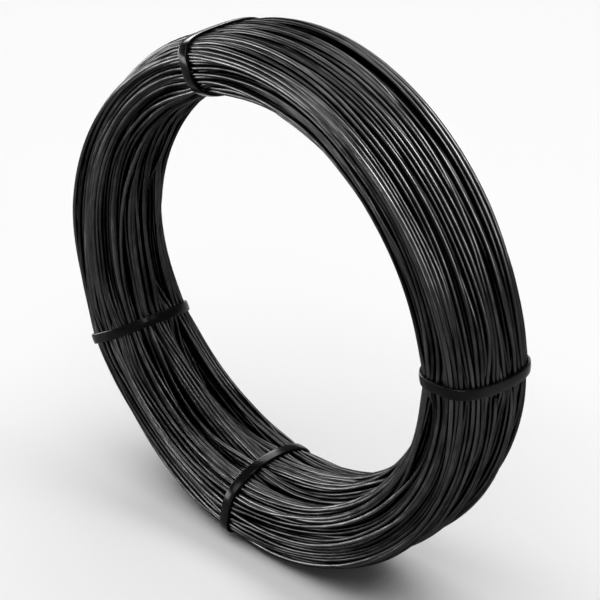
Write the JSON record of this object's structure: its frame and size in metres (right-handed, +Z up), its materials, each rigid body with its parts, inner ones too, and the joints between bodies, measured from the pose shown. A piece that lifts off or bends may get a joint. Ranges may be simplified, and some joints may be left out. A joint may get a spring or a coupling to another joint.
{
  "type": "coil of tie wire",
  "caption": "Ring-shaped coil of black annealed steel tie wire with an open bore, bound by flat black straps; stock that is uncoiled and cut to tie reinforcing bars.",
  "frame": {"origin": "lowest point of the rim, under the middle of the coil", "axes": "+Z up; the bore runs along Y, and the front end faces -Y; +X to the right of the front"},
  "size_m": [0.25, 0.052, 0.25],
  "materials": {
    "wire": "black annealed steel wire with a thin satin oxide skin",
    "strap": "smooth black plastic strap with bevelled edges"
  },
  "bodies": {
    "root": {"wire_coil": "wire", "strap_1": "strap", "strap_2": "strap", "strap_3": "strap", "strap_4": "strap"}
  },
  "joints": []
}
